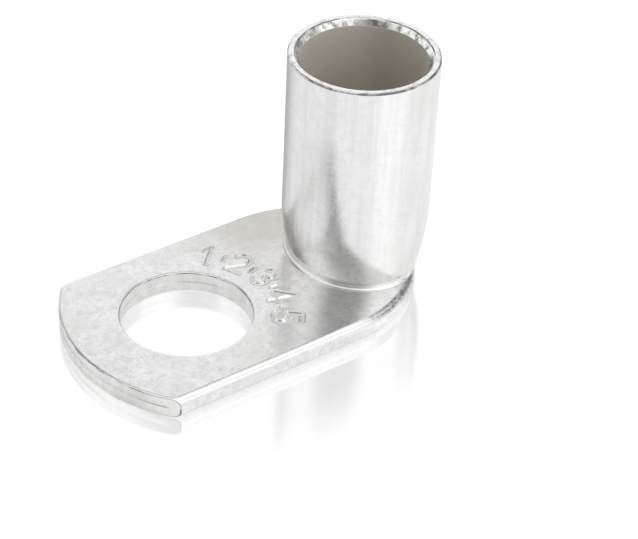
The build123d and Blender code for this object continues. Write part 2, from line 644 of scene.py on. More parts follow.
@dataclass
class LugSkin:
    """The whole lug as one closed skin, built from the mouth down to the underside."""

    sizes: LugSizes = field(default_factory=LugSizes)
    columns: int = 288
    heel_columns: int = 100
    side_columns: int = 56
    end_columns: int = 81
    hole_columns: int = 192
    fold_steps: int = 7
    mouth_steps: int = 7
    wall_steps: tuple[int, int] = (22, 48)
    wall_crowding: float = 1.35
    swell_fades: Point = (3.0, 2.0)
    swell_seed: float = 3.0
    burr: float = 0.035
    burr_radius: float = 9.0
    land_steps: int = 4
    lead_steps: int = 6
    bore_steps: tuple[int, int] = (20, 26)
    floor_steps: int = 8
    lead_edge: float = 0.08
    lead_slope: Point = (0.64, 0.77)
    bore_gap: float = 0.06
    floor_centre: float = 0.06
    crease_touch: float = 0.012
    seam_fade: float = 0.6
    end_seam: tuple[float, ...] = (0.8, 1.0, 0.8)
    hole_seam: tuple[float, ...] = (0.2, 0.35, 0.2)
    least_spacing: float = 0.6
    roll: tuple[Point, ...] = WORN_EDGE
    layers: tuple[Layer, ...] = (
        Layer(0.045, 0.12, from_walls=True),
        Layer(0.1, 0.64),
        Layer(0.3, 1.04),
        Layer(0.9),
    )
    stamp: StampedScale = field(default_factory=StampedScale)
    surface: Surface = field(default_factory=Surface)
    stock: Stock = field(default_factory=Stock)

    def __post_init__(self) -> None:
        """Set out the columns round the barrel."""
        self.outline = PalmOutline(self.sizes)
        self.barrel = BarrelForm(self.sizes)
        self.crease = Crease(self.sizes, self.outline, self.barrel)
        self.angles = round_angles(self.columns)

    def build(self) -> bpy.types.Object:
        """Build every part of the skin and join them into one object.

        Returns:
            The object.
        """
        foot, foot_out, foot_height = self.outside()
        self.inside()
        top, bottom = self.folded_edge(foot, foot_out, foot_height)
        hole_top, hole_bottom = self.bolt_hole()
        self.palm_face(top, hole_top)
        self.underside(bottom, hole_bottom)
        return self.stock.build("lug_skin")

    def ring(self, out: np.ndarray, height: np.ndarray) -> np.ndarray:
        """Points round the barrel's axis, a row to each line of the profile.

        Args:
            out: Distances from the axis.
            height: Heights above the underside.

        Returns:
            Their numbers.
        """
        x = self.sizes.axis_x + out * np.cos(self.angles)
        return self.stock.add(x, out * np.sin(self.angles), height)

    def outside(self) -> tuple[np.ndarray, np.ndarray, np.ndarray]:
        """The rim, the outer wall and the crease.

        Returns:
            The numbers, distances and heights of the points where the crease ends.
        """
        s = self.sizes
        leave, crease_out, crease_height = self.crease.solve(self.angles)
        ones = np.ones(self.columns)
        turn = np.linspace(np.pi / 2, 0, self.mouth_steps)[:, None]
        ragged = self._ragged(self.angles, self.burr)
        rim_out = s.tube_radius - s.mouth_edge + s.mouth_edge * np.cos(turn) * ones
        rim_out[1:-1] -= ragged * np.sin(2 * turn[1:-1])
        rim_height = s.mouth_height - s.mouth_edge + s.mouth_edge * np.sin(turn) * ones
        above, below = self.wall_steps
        upper = np.linspace(s.mouth_height - s.mouth_edge, s.round_height, above)
        upper = upper[1:, None] * ones
        share = 1 - (1 - np.linspace(0, 1, below)[1:, None]) ** self.wall_crowding
        lower = s.round_height + (leave - s.round_height) * share
        wall_height = np.concatenate([upper, lower])
        angle = self.angles * np.ones_like(wall_height)
        wall_out = self.barrel.radius(angle, wall_height)
        where = np.stack([wall_out * np.cos(angle), wall_out * np.sin(angle), wall_height], -1)
        fade = smooth_step((s.mouth_height - wall_height) / self.swell_fades[0])
        fade *= smooth_step((wall_height - leave) / self.swell_fades[1])
        swell = self.surface.swell(where, self.swell_seed)
        wall_out = wall_out + fade * (swell - self.surface.wobble)
        out = np.concatenate([rim_out, wall_out, crease_out[1:]])
        height = np.concatenate([rim_height, wall_height, crease_height[1:]])
        rows = self.ring(out, height)
        self.stock.skin(rows[:2], Finish.RIM, closed=True)
        self.stock.skin(rows[1 : self.mouth_steps], Finish.ARRIS, closed=True)
        self.stock.skin(rows[self.mouth_steps - 1 :], Finish.TIN, closed=True)
        self.rim = rows[0]
        return rows[-1], crease_out[-1], crease_height[-1]

    def _ragged(self, angles: np.ndarray, size: float) -> np.ndarray:
        """A fine uneven burr along a round edge, always inwards.

        Args:
            angles: Directions along the edge.
            size: The most that it reaches.

        Returns:
            The burr at each direction.
        """
        reach = self.burr_radius
        where = [Vector((reach * math.cos(a), reach * math.sin(a), 0.5)) for a in angles]
        return size * np.array([0.5 + 0.5 * noise.noise(w) for w in where])

    def inside(self) -> None:
        """The land, the lead-in, the bore and its floor."""
        s = self.sizes
        lead = s.bore_radius + s.chamfer_width
        edge = self.lead_edge
        land = np.linspace(s.tube_radius - s.mouth_edge, lead + edge, self.land_steps)[1:, None]
        start_out = np.array([[lead - edge * self.lead_slope[0]]])
        start_height = s.mouth_height - edge * self.lead_slope[1]
        share = np.linspace(0, 1, self.lead_steps)[1:, None]
        slope_out = start_out - share * (s.chamfer_width - edge)
        slope_height = start_height - share * (s.chamfer_depth - edge)
        foot = s.mouth_height - s.chamfer_depth - self.bore_gap
        upper = np.linspace(foot, s.heel_height, self.bore_steps[0])
        lower = np.linspace(s.heel_height, s.seam_height, self.bore_steps[1])[1:]
        wall_height = np.concatenate([upper, lower])[:, None] * np.ones(self.columns)
        wall_out = self.barrel.radius(self.angles * np.ones_like(wall_height), wall_height, s.wall)
        share = np.linspace(1, self.floor_centre, self.floor_steps)[1:, None]
        floor_out = wall_out[-1] * share
        before = self.rim[None]
        for out, height, finish in (
            (land, s.mouth_height, Finish.RIM),
            (start_out, start_height, Finish.ARRIS),
            (slope_out, slope_height, Finish.LEAD),
            (wall_out, wall_height, Finish.BORE),
            (floor_out, s.seam_height, Finish.BORE),
        ):
            rows = self.ring(out, height)
            self.stock.skin(np.concatenate([rows[::-1], before[-1:]]), finish, closed=True)
            before = rows
        centre = self.stock.add(np.array([s.axis_x]), np.array([0.0]), np.array([s.seam_height]))
        last = before[-1]
        fan = np.stack([last, np.roll(last, -1), np.full(self.columns, centre[0])], -1)
        numbers = np.concatenate([last, centre])
        self.stock.fill(fan, numbers, level_normals(len(numbers)), Finish.BORE)

    def fold_profile(self) -> np.ndarray:
        """Places down the folded edge.

        Returns:
            Lengths from the flat top to the flat underside.
        """
        s = self.sizes
        round_part = np.linspace(0, s.fold_quarter, self.fold_steps + 1)
        heights = self.seam_rows(s.shoulder, s.fold_radius)
        flat_part = s.fold_quarter + (s.shoulder - heights)
        return np.concatenate([round_part[:-1], flat_part, flat_part[-1] + round_part[1:]])

    def seam_rows(self, top: float, bottom: float) -> np.ndarray:
        """Heights down a flat edge, closer together at the seam.

        Args:
            top: The highest.
            bottom: The lowest.

        Returns:
            The heights from the top down.
        """
        s = self.sizes
        middle = s.seam_height
        near = s.seam_half_width
        upper = [top, (top + middle + near) / 2, middle + near, middle + near * 0.5]
        lower = [middle - near * 0.5, middle - near, (bottom + middle - near) / 2, bottom]
        return np.array(upper + [middle] + lower)

    def fold(self, length: np.ndarray) -> tuple[np.ndarray, np.ndarray]:
        """The folded edge's form.

        Args:
            length: Lengths down the edge from the flat top.

        Returns:
            How far inside the outline, and the height, at each length.
        """
        s = self.sizes
        quarter = s.fold_quarter
        straight = s.thickness - 2 * s.fold_radius
        upper = np.clip(length, 0, quarter) / s.fold_radius
        lower = np.clip(length - quarter - straight, 0, quarter) / s.fold_radius
        middle = np.clip(length - quarter, 0, straight)
        inset = s.fold_radius * (2 - np.sin(upper) - np.cos(lower))
        height = s.thickness - s.fold_radius * (1 - np.cos(upper)) - middle
        return inset, height - s.fold_radius * np.sin(lower)

    def folded_edge(
        self, foot: np.ndarray, foot_out: np.ndarray, foot_height: np.ndarray
    ) -> tuple[np.ndarray, np.ndarray]:
        """The palm's rounded edge, from one corner of the sheared end round the heel to the other.

        Args:
            foot: Numbers of the points where the crease ends.
            foot_out: Their distances from the barrel's axis.
            foot_height: Their heights.

        Returns:
            The loops that bound the palm's flat top and its flat underside.
        """
        s = self.sizes
        profile = self.fold_profile()
        total = profile[-1]
        order = np.arange(-self.heel_columns, self.heel_columns + 1) % self.columns
        angle = np.arange(-self.heel_columns, self.heel_columns + 1) * 2 * np.pi / self.columns
        flat = self.outline.reach(angle, s.fold_radius)
        on_edge = foot_out[order] >= flat - self.crease_touch
        start = self._length_at(foot_height[order])
        start = np.where(on_edge, start, 0.0)
        length = start + (total - start) * (profile / total)[:, None]
        inset, height = self.fold(length)
        out = self.outline.reach(angle * np.ones_like(inset), inset)
        x = s.axis_x + out * np.cos(angle)
        y = out * np.sin(angle)
        heel = self.stock.add(x, y, height)
        heel[0] = np.where(on_edge, foot[order], heel[0])
        sides = []
        inset, height = self.fold(profile)
        for sign, column in ((-1, 0), (1, -1)):
            across = sign * (s.half_width - inset)
            end = s.end_x(across, self.roll[0][0])
            begin = x[:, column]
            share = np.linspace(0, 1, self.side_columns + 1)[1:]
            along = begin[:, None] + (end - begin)[:, None] * share
            across = across[:, None] * np.ones_like(along)
            sides.append(self.stock.add(along, across, height[:, None] * np.ones_like(along)))
        near, far = sides
        rows = np.concatenate([near[:, ::-1], heel, far], axis=1)
        self.stock.skin(rows, Finish.TIN)
        end_top, end_bottom = self.sheared_end(near[:, -1], far[:, -1])
        first, last = np.nonzero(on_edge)[0][[0, -1]]
        top_row = rows[0]
        crease_loop = foot[np.arange(order[last], order[first] + 1)]
        top = np.concatenate(
            [
                top_row[len(near[0]) + last :],
                end_top[::-1],
                top_row[: len(near[0]) + first + 1],
                crease_loop[::-1],
            ]
        )
        bottom = np.concatenate([rows[-1], end_bottom[::-1]])
        return self._without_repeats(top), self._without_repeats(bottom)

    def _length_at(self, height: np.ndarray) -> np.ndarray:
        """Length down the folded edge at a height.

        Args:
            height: Heights above the underside.

        Returns:
            The length at each height.
        """
        s = self.sizes
        rise = np.clip((height - s.shoulder) / s.fold_radius, 0, 1)
        below = np.maximum(s.shoulder - height, 0)
        return s.fold_quarter - s.fold_radius * np.arcsin(rise) + below

    def _without_repeats(self, loop: np.ndarray) -> np.ndarray:
        """Keep each number of a loop once.

        Args:
            loop: The loop of point numbers.

        Returns:
            The loop without repeats.
        """
        keep = np.ones(len(loop), dtype=bool)
        seen: set[int] = set()
        for place, number in enumerate(loop):
            keep[place] = int(number) not in seen
            seen.add(int(number))
        return loop[keep]

    def sheared_end(self, near: np.ndarray, far: np.ndarray) -> tuple[np.ndarray, np.ndarray]:
        """The sheared face, its rolled-over edge and the seam between the two layers.

        Args:
            near: Numbers of the folded edge's last points on the near side, from the top down.
            far: The same on the far side.

        Returns:
            The numbers along its top edge and its bottom edge, from near to far.
        """
        s = self.sizes
        inset, height = self.fold(self.fold_profile())
        steps = self.fold_steps
        lean = np.linspace(np.pi / 2, 0, steps + 1)
        edge_y = s.half_width - inset[: steps + 1]
        middle_y = np.linspace(-edge_y[0], edge_y[0], self.end_columns)[1:-1]
        y = np.concatenate([-edge_y[::-1], middle_y, edge_y])
        flat = np.zeros(len(middle_y))
        top = np.concatenate([height[steps::-1], flat + s.thickness, height[: steps + 1]])
        out_y = np.concatenate([-np.cos(lean)[::-1], flat, np.cos(lean)])
        out_z = np.concatenate([np.sin(lean)[::-1], flat + 1, np.sin(lean)])
        rows = np.array([self.seam_rows(a, s.thickness - a) for a in top]).T
        push_y = np.tile(out_y, (len(rows), 1))
        push_z = np.zeros_like(push_y)
        push_z[0], push_z[-1] = out_z, -out_z
        border = np.zeros(rows.shape, dtype=bool)
        border[[0, -1], :] = True
        border[:, [0, -1]] = True
        rings = [self._end_frame(near, far, rows, middle_y)]
        for back, drop in self.roll[1:-1]:
            at_y, at_z = (y - drop * push_y)[border], (rows - drop * push_z)[border]
            ring = np.full(rows.shape, -1)
            ring[border] = self.stock.add(s.end_x(at_y, back), at_y, at_z)
            rings.append(ring)
        back, drop = self.roll[-1]
        at_y, at_z = y - drop * push_y, rows - drop * push_z
        depth = np.zeros_like(rows)
        open_seam = smooth_step((s.half_width - s.fold_radius - np.abs(y)) / self.seam_fade)
        depth[3:6] = s.seam_depth * np.array(self.end_seam)[:, None] * open_seam
        rings.append(self.stock.add(s.end_x(at_y, back) + depth, at_y, at_z))
        loops = [self._border(ring) for ring in rings]
        self.stock.skin(np.stack(loops[:4])[::-1], Finish.TIN, closed=True)
        self.stock.skin(np.stack(loops[3:])[::-1], Finish.ARRIS, closed=True)
        self.stock.skin(rings[-1][::-1], Finish.SHEAR)
        first = rings[0]
        return first[0, steps:-steps], first[-1, steps:-steps]

    def _end_frame(
        self, near: np.ndarray, far: np.ndarray, rows: np.ndarray, middle_y: np.ndarray
    ) -> np.ndarray:
        """The outermost ring of the sheared end, joined to the folded edges' last points.

        Args:
            near: Numbers of the folded edge's last points on the near side, from the top down.
            far: The same on the far side.
            rows: Heights over the whole end.
            middle_y: Places across the end's flat middle.

        Returns:
            The ring's numbers in a grid, with -1 inside it.
        """
        steps = self.fold_steps
        inner = slice(steps + 1, -steps - 1)
        ring = np.full(rows.shape, -1)
        x = self.sizes.end_x(middle_y, self.roll[0][0])
        for row in (0, -1):
            ring[row, inner] = self.stock.add(x, middle_y, rows[row, inner])
        ring[0, : steps + 1], ring[0, -steps - 1 :] = near[steps::-1], far[: steps + 1]
        ring[-1, : steps + 1] = near[-1 - steps :]
        ring[-1, -steps - 1 :] = far[: -steps - 2 : -1]
        ring[:, 0] = near[steps : len(near) - steps]
        ring[:, -1] = far[steps : len(far) - steps]
        return ring

    def _border(self, grid: np.ndarray) -> np.ndarray:
        """The numbers round a grid's border, from its first corner along its first row."""
        return np.concatenate([grid[0, :-1], grid[:-1, -1], grid[-1, :0:-1], grid[:0:-1, 0]])

    def bolt_hole(self) -> tuple[np.ndarray, np.ndarray]:
        """The hole's wall, its broken edges and the seam in it.

        Returns:
            The rings of numbers at the flat top and the flat underside.
        """
        s = self.sizes
        angles = round_angles(self.hole_columns)
        top_out = s.hole_radius + np.array([back for back, _ in self.roll])
        top_height = s.thickness - np.array([drop for _, drop in self.roll])
        wall = self.seam_rows(top_height[-1], s.thickness - top_height[-1])[1:-1]
        wall_out = np.full(len(wall), s.hole_radius)
        wall_out[2:5] += s.seam_depth * np.array(self.hole_seam)
        out = np.concatenate([top_out, wall_out, top_out[::-1]])
        height = np.concatenate([top_height, wall, s.thickness - top_height[::-1]])
        x = out[:, None] * np.cos(angles)
        y = out[:, None] * np.sin(angles)
        rows = self.stock.add(x, y, height[:, None] * np.ones_like(x))
        steps = len(self.roll)
        self.stock.skin(rows[3::-1], Finish.TIN, closed=True)
        self.stock.skin(rows[steps - 1 : 2 : -1], Finish.ARRIS, closed=True)
        self.stock.skin(rows[: steps - 2 : -1], Finish.SHEAR, closed=True)
        return rows[0], rows[-1]

    def palm_face(self, loop: np.ndarray, hole: np.ndarray) -> None:
        """The palm's flat top with its stamped scale.

        Args:
            loop: Numbers of the points that bound it.
            hole: Numbers of the points round the hole.
        """
        edge, rim = self._flat(loop), self._flat(hole)
        inner = self._scatter(edge, rim)
        x, y = inner.T
        new = self.stock.add(x, y, self.sizes.thickness - self.stamp.sink(x, y))
        triangles = self._triangulate(edge, rim, inner)
        numbers = np.concatenate([loop, hole, new])
        normals = level_normals(len(numbers))
        normals[-len(new) :, :2] = self.stamp.slopes(x, y)
        self.stock.fill(numbers[triangles], numbers, normals, Finish.TIN)

    def underside(self, loop: np.ndarray, hole: np.ndarray) -> None:
        """The palm's flat underside.

        Args:
            loop: Numbers of the points that bound it.
            hole: Numbers of the points round the hole.
        """
        triangles = self._triangulate(self._flat(loop), self._flat(hole), np.zeros((0, 2)))
        numbers = np.concatenate([loop, hole])
        normals = level_normals(len(numbers), -1.0)
        self.stock.fill(numbers[triangles][:, ::-1], numbers, normals, Finish.TIN)

    def _flat(self, numbers: np.ndarray) -> np.ndarray:
        """X and Y of points."""
        return self.stock.all_points()[numbers, :2]

    def _scatter(self, edge: np.ndarray, rim: np.ndarray) -> np.ndarray:
        """Places inside the flat top, closest together along the stamped strokes.

        Args:
            edge: The loop that bounds the flat top.
            rim: The ring round the hole.

        Returns:
            The places.
        """
        bare = self.sizes.hole_radius + self.roll[0][0]
        kept = np.zeros((0, 2))
        fence = np.concatenate([edge, rim])
        for layer in self.layers:
            places = self._grid(edge.min(0), edge.max(0), layer)
            places = places[(np.hypot(*places.T) > bare) & self._inside(places, edge)]
            places = places[self._apart(places, fence, layer.spacing * self.least_spacing)]
            if len(kept):
                places = places[self._apart(places, kept, layer.spacing * self.least_spacing)]
            kept = np.concatenate([kept, places])
        return kept

    def _grid(self, low: np.ndarray, high: np.ndarray, layer: Layer) -> np.ndarray:
        """A staggered grid of places, kept where its layer says.

        Args:
            low: The least X and Y.
            high: The greatest X and Y.
            layer: The layer.

        Returns:
            The places.
        """
        down = np.arange(low[1], high[1], layer.spacing * math.sqrt(3) / 2)
        y, x = np.meshgrid(down, np.arange(low[0], high[0], layer.spacing), indexing="ij")
        x = x + (np.arange(len(x))[:, None] % 2) * layer.spacing / 2
        places = np.stack([x.reshape(-1), y.reshape(-1)], 1)
        if math.isinf(layer.reach):
            return places
        places = places[np.hypot(*places.T) > self.stamp.inner_radius]
        away = self.stamp.distance(*places.T)
        if layer.from_walls:
            away = np.abs(away - self.stamp.half_stroke)
        return places[away < layer.reach]

    def _apart(self, places: np.ndarray, others: np.ndarray, least: float) -> np.ndarray:
        """Which places keep a least distance from others.

        Args:
            places: The places.
            others: The other places.
            least: The least distance.

        Returns:
            Whether each place keeps it.
        """
        keep = np.ones(len(places), dtype=bool)
        for start in range(0, len(places), BLOCK):
            away = places[start : start + BLOCK, None] - others[None]
            keep[start : start + BLOCK] = np.hypot(away[..., 0], away[..., 1]).min(1) > least
        return keep

    def _inside(self, places: np.ndarray, loop: np.ndarray) -> np.ndarray:
        """Which places lie inside a loop.

        Args:
            places: The places.
            loop: The loop's corners in order.

        Returns:
            Whether each place lies inside.
        """
        ax, ay = loop[:, 0], loop[:, 1]
        bx, by = np.roll(ax, -1), np.roll(ay, -1)
        inside = np.zeros(len(places), dtype=bool)
        for start in range(0, len(places), BLOCK):
            x, y = places[start : start + BLOCK, :, None].transpose(1, 0, 2)
            spans = (ay > y) != (by > y)
            rise = np.where(by == ay, TINY, by - ay)
            crosses = x < (bx - ax) * (y - ay) / rise + ax
            inside[start : start + BLOCK] = (spans & crosses).sum(1) % 2 == 1
        return inside

    def _triangulate(self, edge: np.ndarray, rim: np.ndarray, inner: np.ndarray) -> np.ndarray:
        """Triangles between a loop, a hole and places inside.

        Args:
            edge: The loop.
            rim: The ring round the hole.
            inner: The places inside.

        Returns:
            The triangles, as places in the three lists put end to end, anticlockwise from above.
        """
        flat = np.concatenate([edge, rim, inner])
        count, ring = len(edge), len(rim)
        bounds = [(i, (i + 1) % count) for i in range(count)]
        bounds += [(count + i, count + (i + 1) % ring) for i in range(ring)]
        found = delaunay_2d_cdt([Vector(p) for p in flat], bounds, [], 0, 1e-9)
        origin = np.array([source[0] for source in found[3]])
        triangles = origin[np.array(found[2])]
        centre = flat[triangles].mean(1)
        keep = self._inside(centre, edge) & ~self._inside(centre, rim)
        triangles = triangles[keep]
        a, b, c = flat[triangles[:, 0]], flat[triangles[:, 1]], flat[triangles[:, 2]]
        area = (b[:, 0] - a[:, 0]) * (c[:, 1] - a[:, 1]) - (b[:, 1] - a[:, 1]) * (c[:, 0] - a[:, 0])
        triangles[area < 0] = triangles[area < 0][:, ::-1]
        return triangles


@dataclass(frozen=True)
class Grain:
    """A cloudy noise: how fine it is, its count of finer layers and how strong they are."""

    scale: float
    detail: float
    roughness: float
    stretch: tuple[float, float, float] = (1.0, 1.0, 1.0)


# Places of the two colours and the result among a Mix node's sockets
MIX_COLOURS = (6, 7)
MIX_RESULT = 2


@dataclass(frozen=True)
class NodeKit:
    """A short way to lay out a material's nodes."""

    tree: bpy.types.NodeTree

    def node(self, kind: str, **values: object) -> bpy.types.Node:
        """Add a node.

        Args:
            kind: The node's type, without its common prefix.
            values: Settings, and values of inputs by name with spaces as underscores.

        Returns:
            The node.
        """
        made = self.tree.nodes.new("ShaderNode" + kind)
        for name, value in values.items():
            label = name.replace("_", " ")
            if label in made.inputs:
                made.inputs[label].default_value = value
            else:
                setattr(made, name, value)
        return made

    def link(self, source: Socket, target: Socket) -> None:
        """Join an output to an input."""
        self.tree.links.new(source, target)

    def math(self, operation: str, first: Value, second: Value | None = None) -> Socket:
        """Work out a sum.

        Args:
            operation: The sum's name.
            first: Its first value.
            second: Its second value, if it has one.

        Returns:
            The result.
        """
        made = self.node("Math", operation=operation)
        for place, value in enumerate((first, second)):
            if isinstance(value, (int, float)):
                made.inputs[place].default_value = value
            elif value is not None:
                self.link(value, made.inputs[place])
        return made.outputs[0]

    def product(self, first: Value, *others: Value) -> Socket:
        """Multiply values together.

        Args:
            first: The first value.
            others: The other values.

        Returns:
            The product.
        """
        for other in others:
            first = self.math("MULTIPLY", first, other)
        return first

    def parts(self, place: Socket) -> list[Socket]:
        """Split a place into X, Y and Z.

        Args:
            place: The place.

        Returns:
            The three values.
        """
        made = self.node("SeparateXYZ")
        self.link(place, made.inputs[0])
        return list(made.outputs)

    def length(self, x: Socket, y: Socket) -> Socket:
        """Length of a level line from its two parts."""
        return self.math("SQRT", self.math("ADD", self.product(x, x), self.product(y, y)))

    def along(self, x: Socket, y: Socket, azimuth: float) -> Socket:
        """How far a level line reaches along an azimuth."""
        turn = math.radians(azimuth)
        return self.math("ADD", self.product(x, math.cos(turn)), self.product(y, math.sin(turn)))

    def fade(self, value: Socket, edge: float, softness: float) -> Socket:
        """Fall softly from 1 to 0 as a value passes an edge.

        Args:
            value: The value.
            edge: Where the fall is half done.
            softness: How far the fall reaches either side of the edge.

        Returns:
            The faded value.
        """
        made = self.node("MapRange", interpolation_type="SMOOTHSTEP")
        self.link(value, made.inputs["Value"])
        ends = {"From Min": edge - softness, "From Max": edge + softness, "To Min": 1, "To Max": 0}
        for name, end in ends.items():
            made.inputs[name].default_value = end
        return made.outputs[0]

    def wedge(self, x: Socket, y: Socket, azimuth: float, spread: float, softness: float) -> Socket:
        """A soft wedge about an azimuth, 1 inside and 0 outside.

        Args:
            x: X from the wedge's point.
            y: Y from the wedge's point.
            azimuth: The wedge's middle, in degrees.
            spread: How far it reaches either side, in degrees.
            softness: How soft its sides are, in degrees.

        Returns:
            The wedge's share.
        """
        across = self.along(x, y, azimuth + 90)
        swing = self.math("ABSOLUTE", self.math("ARCTAN2", across, self.along(x, y, azimuth)))
        return self.fade(swing, math.radians(spread), math.radians(softness))

    def noise(self, place: Socket, grain: Grain) -> Socket:
        """A cloudy noise.

        Args:
            place: The place on the piece.
            grain: The noise's sizes.

        Returns:
            The noise's value.
        """
        mapped = self.node("Mapping", Scale=grain.stretch)
        self.link(place, mapped.inputs["Vector"])
        made = self.node(
            "TexNoise", Scale=grain.scale, Detail=grain.detail, Roughness=grain.roughness
        )
        self.link(mapped.outputs[0], made.inputs["Vector"])
        return made.outputs[0]

    def blend(self, share: Socket, first: Socket | Colour, second: Socket | Colour) -> Socket:
        """Blend two colours.

        Args:
            share: How much of the second shows.
            first: The first colour.
            second: The second colour.

        Returns:
            The blended colour.
        """
        made = self.node("Mix", data_type="RGBA")
        self.link(share, made.inputs[0])
        for place, value in zip(MIX_COLOURS, (first, second)):
            if isinstance(value, tuple):
                made.inputs[place].default_value = (*value, 1)
            else:
                self.link(value, made.inputs[place])
        return made.outputs[MIX_RESULT]

    def ramp(self, source: Socket, *stops: Point) -> Socket:
        """Map a value through grey stops.

        Args:
            source: The value.
            stops: The stops, each a place and a grey.

        Returns:
            The mapped value.
        """
        made = self.node("ValToRGB")
        elements = made.color_ramp.elements
        for element, (place, grey) in zip(elements, stops, strict=True):
            element.position = place
            element.color = (grey, grey, grey, 1)
        self.link(source, made.inputs["Fac"])
        return made.outputs["Color"]

    def relief(self, shader: bpy.types.Node, height: Socket, strength: float, rise: float) -> None:
        """Raise a fine relief on a shader.

        Args:
            shader: The shader.
            height: The relief's height.
            strength: How strongly it shows.
            rise: How high it stands, in metres.
        """
        bump = self.node("Bump", Strength=strength, Distance=rise)
        self.link(height, bump.inputs["Height"])
        self.link(bump.outputs[0], shader.inputs["Normal"])

    def join(self, kind: str, *sources: Socket) -> Socket:
        """Join shaders in a node that adds or mixes them.

        Args:
            kind: The node's type, without its common prefix.
            sources: What goes into it, in order.

        Returns:
            The joined shader.
        """
        made = self.node(kind)
        for place, source in enumerate(sources):
            self.link(source, made.inputs[place])
        return made.outputs[0]


def new_material(name: str) -> tuple[bpy.types.Material, NodeKit]:
    """Start an empty material.

    Args:
        name: The material's name.

    Returns:
        The material and its node kit.
    """
    made = bpy.data.materials.new(name)
    made.use_nodes = True
    made.node_tree.nodes.clear()
    return made, NodeKit(made.node_tree)


def metal(name: str) -> tuple[bpy.types.Material, NodeKit, bpy.types.Node, Socket]:
    """Start a metal material.

    Args:
        name: The material's name.

    Returns:
        The material, its node kit, its shader and the place on the piece.
    """
    made, kit = new_material(name)
    shader = kit.node("BsdfPrincipled", Metallic=1.0)
    kit.link(shader.outputs[0], kit.node("OutputMaterial").inputs["Surface"])
    return made, kit, shader, kit.node("TexCoord").outputs["Object"]


@dataclass(frozen=True)
class Patch:
    """A round, soft patch of another colour. Its sizes are in millimetres."""

    colour: Colour
    centre: Point
    radius: float
    softness: float

    def share(self, kit: NodeKit, x: Socket, y: Socket) -> Socket:
        """How much of the patch shows.

        Args:
            kit: The material's node kit.
            x: X of the place.
            y: Y of the place.

        Returns:
            The patch's share.
        """
        x = kit.math("SUBTRACT", x, self.centre[0] * MM)
        y = kit.math("SUBTRACT", y, self.centre[1] * MM)
        return kit.fade(kit.length(x, y), self.radius * MM, self.softness * MM)


@dataclass(frozen=True)
class TinPlate:
    """Bright to satin tin plating, with mottling, drawing lines, specks, a faint tarnish and a
    patch of painted shade on the palm's far side.
    """

    name: str = "tin_plate"
    light: Colour = (0.94, 0.935, 0.94)
    dull: Colour = (0.75, 0.745, 0.745)
    tarnish: Colour = (0.82, 0.82, 0.8)
    speck: Colour = (0.42, 0.41, 0.39)
    # Painted shade: a soft patch that darkens the palm's far side beside the barrel, broken up by
    # the clouds
    painted_shade: Patch = Patch(colour=(0.6, 0.59, 0.55), centre=(17.0, 9.0), radius=8.0, softness=6.0)
    scuff: Patch = Patch(colour=(0.3, 0.33, 0.35), centre=(19.8, -9.4), radius=4.6, softness=1.8)
    scuff_top: Point = (2.195, 0.01)
    scuff_foot: Point = (1.75, 0.2)
    palm_top: Point = (2.9, 0.4)
    barrel_mottle: float = 0.3
    clouds: Grain = Grain(330.0, 6.0, 0.66)
    drawing: Grain = Grain(1700.0, 3.0, 0.5, stretch=(1.0, 1.0, 0.05))
    specks: Grain = Grain(1600.0, 5.0, 0.7)
    bloom: Grain = Grain(75.0, 2.0, 0.5)
    crystals: Grain = Grain(1150.0, 4.0, 0.8)
    cloud_stops: Stops = ((0.36, 0.0), (0.74, 0.75))
    drawing_stops: Stops = ((0.42, 0.0), (0.72, 0.45))
    crystal_stops: Stops = ((0.48, 0.0), (0.62, 1.0))
    tarnish_stops: Stops = ((0.48, 0.0), (0.68, 0.5))
    painted_shade_stops: Stops = ((0.2, 0.6), (0.6, 1.0))
    scuff_stops: Stops = ((0.42, 0.25), (0.6, 1.0))
    speck_stops: Stops = ((0.7, 0.0), (0.76, 0.7))
    roughness_stops: Stops = ((0.3, 0.15), (0.75, 0.32))
    cloud_relief: float = 1.9
    speck_relief: float = 0.5
    drawing_relief: float = 0.25
    relief_strength: float = 0.2
    relief_rise: float = 0.03

    def material(self) -> bpy.types.Material:
        """Make the material.

        Returns:
            The material.
        """
        made, kit, shader, place = metal(self.name)
        cloud = kit.noise(place, self.clouds)
        lines = kit.noise(place, self.drawing)
        fine = kit.noise(place, self.specks)
        warm = kit.noise(place, self.bloom)
        grain = kit.noise(place, self.crystals)
        x, y, z = kit.parts(place)
        on_palm = self._below(kit, z, self.palm_top)
        mottle = kit.product(on_palm, 1 - self.barrel_mottle)
        mottle = kit.math("ADD", mottle, self.barrel_mottle)
        broken = kit.ramp(cloud, *self.painted_shade_stops)
        on_fold = kit.math("SUBTRACT", 1.0, self._below(kit, z, self.scuff_foot))
        on_fold = kit.product(on_fold, self._below(kit, z, self.scuff_top))
        scuffs = kit.ramp(grain, *self.scuff_stops)
        layers = (
            (kit.product(kit.ramp(cloud, *self.cloud_stops), mottle), self.dull),
            (kit.ramp(lines, *self.drawing_stops), self.dull),
            (kit.product(kit.ramp(grain, *self.crystal_stops), mottle), self.dull),
            (kit.ramp(warm, *self.tarnish_stops), self.tarnish),
            # The painted shade on the palm's far side
            (kit.product(self.painted_shade.share(kit, x, y), on_palm, broken), self.painted_shade.colour),
            (kit.product(self.scuff.share(kit, x, y), on_fold, scuffs), self.scuff.colour),
            (kit.ramp(fine, *self.speck_stops), self.speck),
        )
        colour = self.light
        for share, over in layers:
            colour = kit.blend(share, colour, over)
        kit.link(colour, shader.inputs["Base Color"])
        kit.link(kit.ramp(fine, *self.roughness_stops), shader.inputs["Roughness"])
        swell = kit.product(cloud, self.cloud_relief, mottle)
        height = kit.math("ADD", kit.product(fine, self.speck_relief), swell)
        height = kit.math("ADD", height, kit.product(lines, self.drawing_relief))
        kit.relief(shader, height, self.relief_strength, self.relief_rise * MM)
        return made

    def _below(self, kit: NodeKit, z: Socket, edge: Point) -> Socket:
        """Whether a place is below a soft edge, which is a height and a softness."""
        return kit.fade(z, edge[0] * MM, edge[1] * MM)


